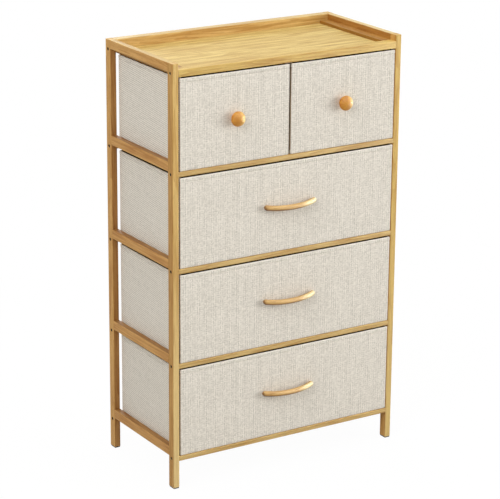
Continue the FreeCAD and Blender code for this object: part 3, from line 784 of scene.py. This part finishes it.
def seam_groove(point, depth):
    """The groove where the front cloth, turned round the corner, meets the side cloth."""
    if point.wall not in ("left", "right"):
        return 0.0
    return -SEAM_DEEP * math.exp(-(((behind_front(point, depth) - SEAM) / SEAM_WIDE) ** 2))


def pull_in(point, depth, slack):
    """How far a slack wall stands out: drawn in behind the stiff front, and out further on."""
    if point.wall not in slack:
        return 0.0
    place = behind_front(point, depth)
    pull, swell, start, end = slack[point.wall]
    drawn = -pull * (1 - math.exp(-max(0.0, place - CORNER) / CATCH))
    further = min(1.0, max(0.0, (place - start) / (end - start)))
    further = further * further * (3 - 2 * further)
    return (drawn + (swell - drawn) * further) * min(1.0, (depth - place) / BACK_HOLD)


def hem_dip(point, sag):
    """How far the hem sags between the corners of a wall, in millimetres."""
    if point.wall == "corner":
        return 0.0
    return (FRONT_SAG if point.wall == "front" else sag) * math.sin(math.pi * point.share) ** 0.5


def is_side_cloth(point, depth):
    """Whether a point lies on a side panel, behind its seam; its cloth is turned a quarter."""
    return point.wall in ("left", "right") and behind_front(point, depth) > SEAM - 0.1


def skin_rows(mesh, drawer, low, size, points, rings, marks, seed):
    """The skin's points, a row for each ring."""
    depth, height = size.y, size.z
    rows = []
    for index, (out, z) in enumerate(rings):
        row = []
        for point in points:
            give = soften(point, z, height, seed) if index <= marks.rim else 0.0
            groove = seam_groove(point, depth) if FOLD_STEPS <= index <= marks.hem else 0.0
            pull = pull_in(point, depth, SLACK[drawer]) * min(1.0, z / FLOOR_HOLD)
            spot = point.place + point.way * (out + give + groove + pull)
            hung = max(0.0, z / height - SAG_START) / (1 - SAG_START)
            drop = hem_dip(point, SAG[drawer]) * hung
            row.append(mesh.verts.new((low + Vector((spot.x, spot.y, z - drop))) * MM))
        rows.append(row)
    return rows


print("hems sag by", SAG, "mm")

# %% [markdown]
# Last the rows are joined by faces, each with its cloth and its place on the flat cloth, which is
# how far it lies round the bin and up the skin. An unwrap would stretch the threads, and here the
# places are known already. On the side panels the cloth is turned. Each bin stands a little to the
# right in its opening, as pushed in by hand.

# %% Sewn bins: the skin
FRONT, LINING, TAPE, SIDE = range(4)
THREAD_OUT = 0.22
SEED_STEP = 13.7
# How far a bin's left and right walls stand to the right of the CAD bin's
EASE = {drawer: (1.3, 1.6) for drawer in DRAWERS}
EASE |= {"top_left_drawer": (1.3, 1.0), "top_right_drawer": (2.6, 1.6)}


def which_cloth(index, marks, turned):
    """The finish of a face between a ring and the next."""
    if index > marks.rim:
        return LINING
    if index >= marks.tape:
        return TAPE
    return SIDE if turned else FRONT


def skin_faces(mesh, uv_layer, rows, points, girth, rings, marks, depth):
    """Joins the rows, and closes the skin under the floor and above it."""
    climbs = [0.0]
    for ring, following in zip(rings, rings[1:]):
        climbs.append(climbs[-1] + math.dist(ring, following))
    count = len(points)
    for index, (row, above) in enumerate(zip(rows, rows[1:])):
        for step in range(count):
            after = (step + 1) % count
            face = mesh.faces.new((row[step], row[after], above[after], above[step]))
            face.smooth = True
            start, end = points[step], points[after]
            round_end = end.travelled if after else girth + end.travelled
            turned = is_side_cloth(start, depth) and is_side_cloth(end, depth)
            face.material_index = which_cloth(index, marks, turned)
            across = (start.travelled, round_end, round_end, start.travelled)
            climbed = (climbs[index], climbs[index], climbs[index + 1], climbs[index + 1])
            for loop, *spot in zip(face.loops, across, climbed):
                u, v = (value * MM for value in spot)
                loop[uv_layer].uv = (v, u) if turned else (u, v)
    for row, kind in ((rows[0][::-1], FRONT), (rows[-1], LINING)):
        face = mesh.faces.new(row)
        face.material_index = kind
        for loop in face.loops:
            loop[uv_layer].uv = loop.vert.co.xy


def thread_lines(rows, points, marks, depth):
    """The lines along which a bin is stitched: round its hem and down its seams."""
    out = [point.way.to_3d() * THREAD_OUT * MM for point in points]
    hem = rows[marks.hem]
    lines = [[hem[step].co + out[step] for step in (*range(len(points)), 0)]]
    for step, point in enumerate(points):
        if abs(seam_groove(point, depth)) > 0.98 * SEAM_DEEP:
            lines.append([row[step].co + out[step] for row in rows[FOLD_STEPS : marks.hem]])
    return lines


def sewn_bin(drawer, seed):
    """The cloth of one drawer, and the lines along which it is stitched."""
    low, high = (Vector(corner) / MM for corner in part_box(f"{drawer}_bin"))
    low.x += EASE[drawer][0]
    high.x += EASE[drawer][1]
    size = high - low
    points, girth = outline(size.x, size.y)
    rings, marks = skin_rings(size.z)
    mesh = bmesh.new()
    uv_layer = mesh.loops.layers.uv.new("cloth")
    rows = skin_rows(mesh, drawer, low, size, points, rings, marks, seed)
    skin_faces(mesh, uv_layer, rows, points, girth, rings, marks, size.y)
    lines = thread_lines(rows, points, marks, size.y)
    piece = as_piece(f"{drawer}_cloth_bin", mesh, (linen, lining, tape, side_linen))
    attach(piece, drawer)
    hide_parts(f"{drawer}_bin")
    return piece, lines


stitched = {}
for number, drawer in enumerate(DRAWERS):
    piece, stitched[drawer] = sewn_bin(drawer, SEED_STEP * (number + 1))
    print(piece.name, len(piece.data.polygons), "faces")

# %% [markdown]
# Stitches and screws are small things that repeat. They could be placed one by one in Python, but
# they follow a rule, which is what Geometry Nodes are for. A recipe is such a tree with named
# sizes. It is run on a few points and edges, and its result is turned into a plain mesh, one for
# each body, so that nothing is left live.


# %% Recipes
def new_recipe(name, sizes):
    """A Geometry Nodes tree with named size inputs, and the wire of its group input."""
    group = bpy.data.node_groups.new(name, "GeometryNodeTree")
    group.interface.new_socket("Geometry", in_out="INPUT", socket_type="NodeSocketGeometry")
    for size in sizes:
        group.interface.new_socket(size, in_out="INPUT", socket_type="NodeSocketFloat")
    group.interface.new_socket("Geometry", in_out="OUTPUT", socket_type="NodeSocketGeometry")
    tree = Tree(group)
    return group, tree, tree.add("NodeGroupInput")


def end_recipe(tree, instances, finish):
    """Makes instances real, gives them their finish and sends them out of the tree."""
    solid = tree.add("GeometryNodeRealizeInstances", {}, {"Geometry": instances})
    painted = tree.add("GeometryNodeSetMaterial", {}, {"Geometry": solid, "Material": finish})
    tree.add("NodeGroupOutput", {}, {"Geometry": painted})


def cook(name, group, sizes, points, edges=(), facings=()):
    """Runs a recipe, with sizes in millimetres, on points and edges; gives a plain object."""
    mesh = bpy.data.meshes.new(f"{name}_start")
    mesh.from_pydata(points, edges, [])
    if facings:
        facing = mesh.attributes.new("facing", "FLOAT_VECTOR", "POINT")
        for item, way in zip(facing.data, facings):
            item.vector = way
    source = bpy.data.objects.new(f"{name}_start", mesh)
    scene.collection.objects.link(source)
    modifier = source.modifiers.new("recipe", "NODES")
    modifier.node_group = group
    for item in group.interface.items_tree:
        if item.name in sizes:
            modifier[item.identifier] = sizes[item.name] * MM
    evaluated = source.evaluated_get(bpy.context.evaluated_depsgraph_get())
    result = bpy.data.meshes.new_from_object(evaluated)
    result.name = name
    bpy.data.objects.remove(source)
    piece = bpy.data.objects.new(name, result)
    scene.collection.objects.link(piece)
    return piece


print("recipe helpers ready")

# %% [markdown]
# The hem and the seams are sewn with a pale thread, one short stitch after another.
# A twisted curve could stand for it, but a sewn thread shows only where it comes to the top.
# So the recipe turns each line into a curve, cuts it into even steps and sets a slim rounded bead
# along it at each step.

# %% Thread
STITCH = {"Pitch": 4.2, "Length": 3.1, "Thickness": 0.6}
thread = speckled("sewing_thread", colour(206, 199, 187), colour(176, 168, 155), 0.4, 0.7)
stitching, tree, given = new_recipe("stitching", STITCH)
curve = tree.add("GeometryNodeMeshToCurve", {}, {"Mesh": given.out("Geometry")})
pitch = {"Curve": curve, "Length": given.out("Pitch")}
steps = tree.add("GeometryNodeResampleCurve", {"mode": "LENGTH"}, pitch)
bead = tree.add("GeometryNodeMeshUVSphere", {}, {"Segments": 6, "Rings": 4, "Radius": 0.5})
long, thick = given.out("Length"), given.out("Thickness")
scale = tree.add("ShaderNodeCombineXYZ", {}, {0: long, 1: thick, 2: thick})
slim = tree.add("GeometryNodeTransform", {}, {"Geometry": bead, "Scale": scale})
tangent = tree.add("GeometryNodeInputTangent")
turn = tree.add("FunctionNodeAlignRotationToVector", {"axis": "X"}, {"Vector": tangent})
beads = {"Points": steps, "Instance": slim, "Rotation": turn}
stitches = tree.add("GeometryNodeInstanceOnPoints", {}, beads)
smooth = tree.add("GeometryNodeSetShadeSmooth", {}, {"Geometry": stitches})
end_recipe(tree, smooth, thread)

for drawer, lines in stitched.items():
    points, edges = [], []
    for line in lines:
        first = len(points)
        edges += [(first + step, first + step + 1) for step in range(len(line) - 1)]
        points += line
    piece = cook(f"{drawer}_stitches", stitching, STITCH, points, edges)
    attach(piece, drawer)
    print(piece.name, len(piece.data.polygons), "faces")

# %% [markdown]
# Twenty screws hold the rails to the posts; their black heads sit a little below the outer faces of
# the posts. Each has a hexagon socket for a key. The twenty could be copies of one modelled screw,
# but one recipe with named sizes makes them all: head and shank joined, the socket cut out.
# The screws of the knobs and handles are the same recipe with other sizes, with their heads inside
# the drawers.

# %% Screws: the recipe
FRAME_SCREW = {
    "Head diameter": 7.6,
    "Head height": 3.0,
    "Shank diameter": 4.9,
    "Shank length": 44.0,
    "Socket width": 4.0,
    "Socket depth": 2.0,
}
HEAD_SIDES, SHANK_SIDES, SOCKET_SIDES = 24, 12, 6
SHANK_START = 0.6
screwing, tree, given = new_recipe("socket_screws", FRAME_SCREW)
sizes = (given.out(size) for size in FRAME_SCREW)
head_wide, head_high, shank_wide, shank_long, socket_wide, socket_deep = sizes


def upright(sides, radius, height, middle):
    """A prism or cylinder of many sides about Z, moved so that its middle is at a height."""
    sockets = {"Vertices": sides, "Radius": radius, "Depth": height}
    body = tree.add("GeometryNodeMeshCylinder", {"fill_type": "NGON"}, sockets)
    shift = tree.add("ShaderNodeCombineXYZ", {}, {2: middle})
    return tree.add("GeometryNodeTransform", {}, {"Geometry": body, "Translation": shift})


def cut_or_join(operation, meshes):
    """A Mesh Boolean node."""
    settings = {"operation": operation, "solver": "EXACT"}
    return tree.add("GeometryNodeMeshBoolean", settings, meshes)


head = upright(HEAD_SIDES, head_wide / 2, head_high, head_high / -2)
shank_middle = shank_long / -2 - SHANK_START * head_high
shank = upright(SHANK_SIDES, shank_wide / 2, shank_long, shank_middle)
socket = upright(SOCKET_SIDES, socket_wide / math.sqrt(3), socket_deep * 2, 0.0)
solid = cut_or_join("UNION", {"Mesh 2": [head, shank]})
screw = cut_or_join("DIFFERENCE", {"Mesh 1": solid, "Mesh 2": socket})
vector = {"data_type": "FLOAT_VECTOR"}
facing = tree.add("GeometryNodeInputNamedAttribute", vector, {"Name": "facing"})
turn = tree.add("FunctionNodeAlignRotationToVector", {"axis": "Z"}, {"Vector": facing})
set_screws = {"Points": given.out("Geometry"), "Instance": screw, "Rotation": turn}
screws = tree.add("GeometryNodeInstanceOnPoints", {}, set_screws)
end_recipe(tree, screws, dark_steel)
print("screw recipe:", len(screwing.nodes), "nodes")

# %% [markdown]
# Each CAD node of plain screws is replaced by a set of these. Their places come from the CAD boxes:
# a frame screw lies in the middle of its post, at the height of its rail, and a drawer's screws lie
# where the CAD ones do, one behind a knob and two behind a handle.

# %% Screws: their places
DRAWER_SCREW = {
    "Head diameter": 8.5,
    "Head height": 2.5,
    "Shank diameter": 3.9,
    "Socket width": 3.0,
    "Socket depth": 1.6,
}
# How much shorter the shank is than the CAD screw, and the widest box that holds one screw
SHANK_SHORT, ONE_SCREW = 2.8, 20


def middle_of(node):
    """The middle of a CAD node's box."""
    low, high = (Vector(corner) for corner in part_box(node))
    return (low + high) / 2


def screw_set(name, body, node, sizes, places, facings):
    """Screws that replace a CAD node of plain ones: where their heads end, and how they face."""
    piece = cook(name, screwing, sizes, places, facings=facings)
    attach(piece, body)
    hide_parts(node)
    print(name, len(places), "screws")


places = []
low, high = (Vector(corner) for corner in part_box("frame_screws"))
for side, x in (("left", low.x), ("right", high.x)):
    for end in ("front", "rear"):
        for rail in ("1", "2", "3", "4", "top"):
            y, z = middle_of(f"post_{end}_{side}").y, middle_of(f"front_rail_{rail}").z
            places.append((x, y, z))
outwards = [(math.copysign(1, x), 0, 0) for x, y, z in places]
screw_set("frame_socket_screws", "frame", "frame_screws", FRAME_SCREW, places, outwards)
for drawer in DRAWERS:
    node = f"{drawer}_screws"
    low, high = (Vector(corner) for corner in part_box(node))
    middle = (low + high) / 2
    inset = DRAWER_SCREW["Head diameter"] / 2 * MM
    single = high.x - low.x < ONE_SCREW * MM
    across = [middle.x] if single else [low.x + inset, high.x - inset]
    places = [(x, high.y, middle.z) for x in across]
    sizes = DRAWER_SCREW | {"Shank length": (high.y - low.y) / MM - SHANK_SHORT}
    backwards = [(0, 1, 0)] * len(places)
    screw_set(f"{drawer}_socket_screws", drawer, node, sizes, places, backwards)

# %% [markdown]
# The chest stands on white paper. More light on a pale floor would make it white, but would spoil
# the colours of the chest. So the floor and the air behind are simply white to the camera and to
# shiny surfaces, and everything else sees a softer grey there, so that the page doesn't flood the
# wood with light from below. The floor shows the chest's shadow close to it, and goes over into
# plain white further out.

# %% Backdrop
AMBIENT = 0.45
PAPER_SEEN, PAPER_GIVEN = (1.0, 1.0, 1.0), (0.46, 0.45, 0.425)
PAGE_NEAR, PAGE_START, PAGE_END = 0.97, 0.5, 1.4
FLOOR_HALF = 12.0


def page_white(tree):
    """1 where the camera or a reflection looks at the backdrop, 0 for the light that it gives."""
    path = tree.add("ShaderNodeLightPath")
    rays = path.out("Is Camera Ray") + path.out("Is Glossy Ray") + path.out("Is Transmission Ray")
    return rays.clamp()


world = bpy.data.worlds.new("studio")
world.use_nodes = True
world.node_tree.nodes.clear()
air = Tree(world.node_tree)
strength = AMBIENT + (1 - AMBIENT) * page_white(air)
white = {"Color": (1, 1, 1, 1), "Strength": strength}
background = air.add("ShaderNodeBackground", {}, white)
air.add("ShaderNodeOutputWorld", {}, {"Surface": background})
scene.world = world

paper, tree = new_finish("paper_floor")
paper_colour = tree.mix(page_white(tree), PAPER_GIVEN, PAPER_SEEN)
matt = tree.add("ShaderNodeBsdfDiffuse", {}, {"Color": paper_colour})
glow = tree.add("ShaderNodeEmission", {}, {"Color": (1, 1, 1, 1), "Strength": 1.0})
place = tree.add("ShaderNodeTexCoord", output="Object")
away = tree.add("ShaderNodeVectorMath", {"operation": "LENGTH"}, {0: place}, output="Value")
bare = PAGE_NEAR + (1 - PAGE_NEAR) * away.spread(PAGE_START, PAGE_END)
page = {0: page_white(tree) * bare, 1: matt, 2: glow}
tree.add("ShaderNodeOutputMaterial", {}, {"Surface": tree.add("ShaderNodeMixShader", {}, page)})
floor_mesh = bpy.data.meshes.new("studio_floor")
turns = ((-1, -1), (1, -1), (1, 1), (-1, 1))
floor_mesh.from_pydata([(x * FLOOR_HALF, y * FLOOR_HALF, 0) for x, y in turns], [], [(0, 1, 2, 3)])
floor_mesh.materials.append(paper)
floor = bpy.data.objects.new("studio_floor", floor_mesh)
scene.collection.objects.link(floor)
print("page:", 2 * FLOOR_HALF, "m wide")

# %% [markdown]
# Plain studio light: a large soft lamp in front on the right, smaller ones on the left, behind and
# above, and the pale light from all round. Three more lamps act as white cards, which show only in
# the gloss of the lacquer and light nothing else. A picture of a real studio could light the chest
# too, but lamps are easier to move and need no file.

# %% Lamps
# Place, target, width, height and watts
LAMPS = {
    "right_lamp": ((5.2, -3.7, 1.6), (0, 0, 0.4), 3.4, 3.2, 210),
    "left_lamp": ((-3.0, -1.9, 3.0), (0, 0, 0.9), 2.4, 2.4, 86),
    "back_lamp": ((0.6, 5.0, 2.4), (0, 0, 0.6), 3.0, 3.0, 110),
    "top_lamp": ((0.0, 0.0, 3.4), (0, 0, 1), 2.0, 2.0, 23),
    "right_card": ((2.4, -0.95, 0.5), (0, -0.1, 0.5), 2.7, 1.7, 230),
    "upper_card": ((2.55, -1.46, 4.75), (0, -0.1, 0.5), 2.7, 1.7, 150),
    "front_card": ((-0.6, -2.6, 4.4), (0, -0.1, 0.5), 2.7, 1.7, 110),
}
for name, (place, target, wide, high, power) in LAMPS.items():
    lamp = bpy.data.lights.new(name, "AREA")
    lamp.shape = "RECTANGLE"
    lamp.size, lamp.size_y = wide, high
    lamp.energy = power
    holder = bpy.data.objects.new(name, lamp)
    turn = (Vector(target) - Vector(place)).to_track_quat("-Z", "Y")
    holder.matrix_world = Matrix.Translation(place) @ turn.to_matrix().to_4x4()
    holder.visible_diffuse = not name.endswith("_card")
    scene.collection.objects.link(holder)
print("lamps and cards:", len(LAMPS))
